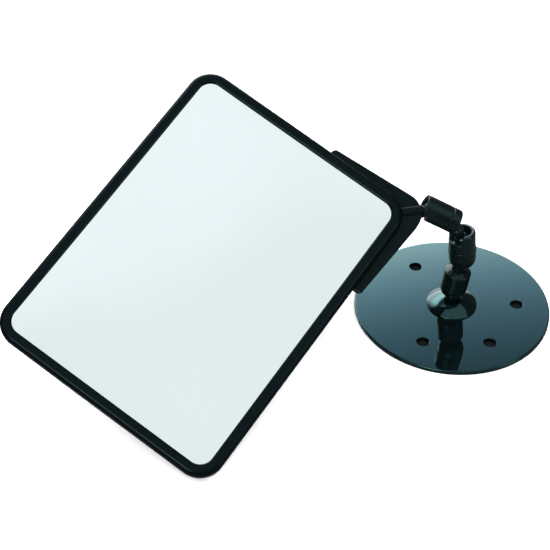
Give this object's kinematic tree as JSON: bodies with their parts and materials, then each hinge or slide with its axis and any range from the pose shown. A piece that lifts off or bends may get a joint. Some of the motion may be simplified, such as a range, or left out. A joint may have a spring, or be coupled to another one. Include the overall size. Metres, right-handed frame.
{
  "type": "traffic convex mirror",
  "caption": "Rectangular convex mirror in a rubber edge trim, held at one corner by a jointed arm that stands on a round screw-down base plate.",
  "frame": {"origin": "centre of the base plate's underside", "axes": "+Z out of the surface the plate is screwed to, along the base stud; +X through the centre of the first screw hole, away from the mirror; +Y towards the back of the mirror"},
  "size_m": [0.3193, 0.2057, 0.1341],
  "materials": {
    "base_paint": "gloss black paint with a blue-green cast",
    "arm_paint": "gloss black paint",
    "ball_paint": "smooth blackened ball",
    "stud_steel": "blackened steel, rubbed at its edges",
    "seat_nylon": "natural nylon",
    "spring_steel": "ground spring steel",
    "shoe_paint": "satin black paint",
    "pad_rubber": "soft black rubber",
    "trim_rubber": "smooth black rubber bead",
    "board_plastic": "fine-grained black moulding",
    "pad_foam": "closed-cell foam",
    "mirror": "silvered acrylic",
    "screw_steel": "zinc-plated steel"
  },
  "bodies": {
    "base": {"base_plate": "base_paint", "base_boss": "base_paint", "base_stud": "stud_steel"},
    "base_ball": {"base_ball": "ball_paint"},
    "lower_barrel": {"lower_socket": "arm_paint", "lower_seat": "seat_nylon", "lower_spring": "spring_steel", "lower_cap": "arm_paint", "link_stud": "stud_steel"},
    "link_ball": {"link_ball": "ball_paint"},
    "riser_barrel": {"riser_lower_cup": "arm_paint", "riser_collar": "arm_paint", "riser_upper_cup": "arm_paint", "riser_first_seat": "seat_nylon", "riser_spring": "spring_steel", "riser_second_seat": "seat_nylon"},
    "elbow": {"elbow_stud": "stud_steel", "elbow_lower_ball": "ball_paint"},
    "elbow_upper_ball": {"elbow_upper_ball": "ball_paint"},
    "cross_barrel": {"cross_right_cup": "arm_paint", "cross_left_cup": "arm_paint", "cross_first_seat": "seat_nylon", "cross_spring": "spring_steel", "cross_second_seat": "seat_nylon"},
    "shoe_ball": {"shoe_ball": "ball_paint"},
    "mirror_head": {"shoe_stud": "stud_steel", "corner_shoe": "shoe_paint", "shoe_pad": "pad_rubber", "shoe_screw_1": "screw_steel", "shoe_screw_2": "screw_steel", "shoe_screw_3": "screw_steel", "backing_board": "board_plastic", "face_pad": "pad_foam", "mirror_face": "mirror", "edge_trim": "trim_rubber"}
  },
  "joints": [
    {"name": "base_ball_spin", "type": "hinge", "parent": "base", "child": "base_ball", "pos_m": [0, 0, 0.0173], "axis": [0, 0, 1], "continuous": true},
    {"name": "lower_barrel_tilt", "type": "hinge", "parent": "base_ball", "child": "lower_barrel", "pos_m": [0, 0, 0.0173], "axis": [0, 1, 0], "range_deg": [-29, 14]},
    {"name": "link_ball_spin", "type": "hinge", "parent": "lower_barrel", "child": "link_ball", "pos_m": [0.00298, 0, 0.04091], "axis": [0.1253, 0, 0.9921], "continuous": true},
    {"name": "riser_barrel_tilt", "type": "hinge", "parent": "link_ball", "child": "riser_barrel", "pos_m": [0.00298, 0, 0.04091], "axis": [0, -1, 0], "range_deg": [-34, 8]},
    {"name": "elbow_swing", "type": "hinge", "parent": "riser_barrel", "child": "elbow", "pos_m": [0.0016, 0, 0.05384], "axis": [0.511, -0.8579, 0.0546], "range_deg": [-37, 20]},
    {"name": "elbow_ball_spin", "type": "hinge", "parent": "elbow", "child": "elbow_upper_ball", "pos_m": [-0.00705, -0.004, 0.07199], "axis": [-0.422, -0.195, 0.8854], "continuous": true},
    {"name": "cross_barrel_swing", "type": "hinge", "parent": "elbow_upper_ball", "child": "cross_barrel", "pos_m": [-0.00705, -0.004, 0.07199], "axis": [-0.2699, -0.9053, -0.328], "range_deg": [-62, 24]},
    {"name": "shoe_ball_swing", "type": "hinge", "parent": "cross_barrel", "child": "shoe_ball", "pos_m": [-0.01872, -0.00252, 0.07752], "axis": [0.1446, -0.837, 0.5278], "range_deg": [-44, 10]},
    {"name": "mirror_spin", "type": "hinge", "parent": "shoe_ball", "child": "mirror_head", "pos_m": [-0.01872, -0.00252, 0.07752], "axis": [0.9816, 0.1887, 0.0304], "continuous": true}
  ]
}
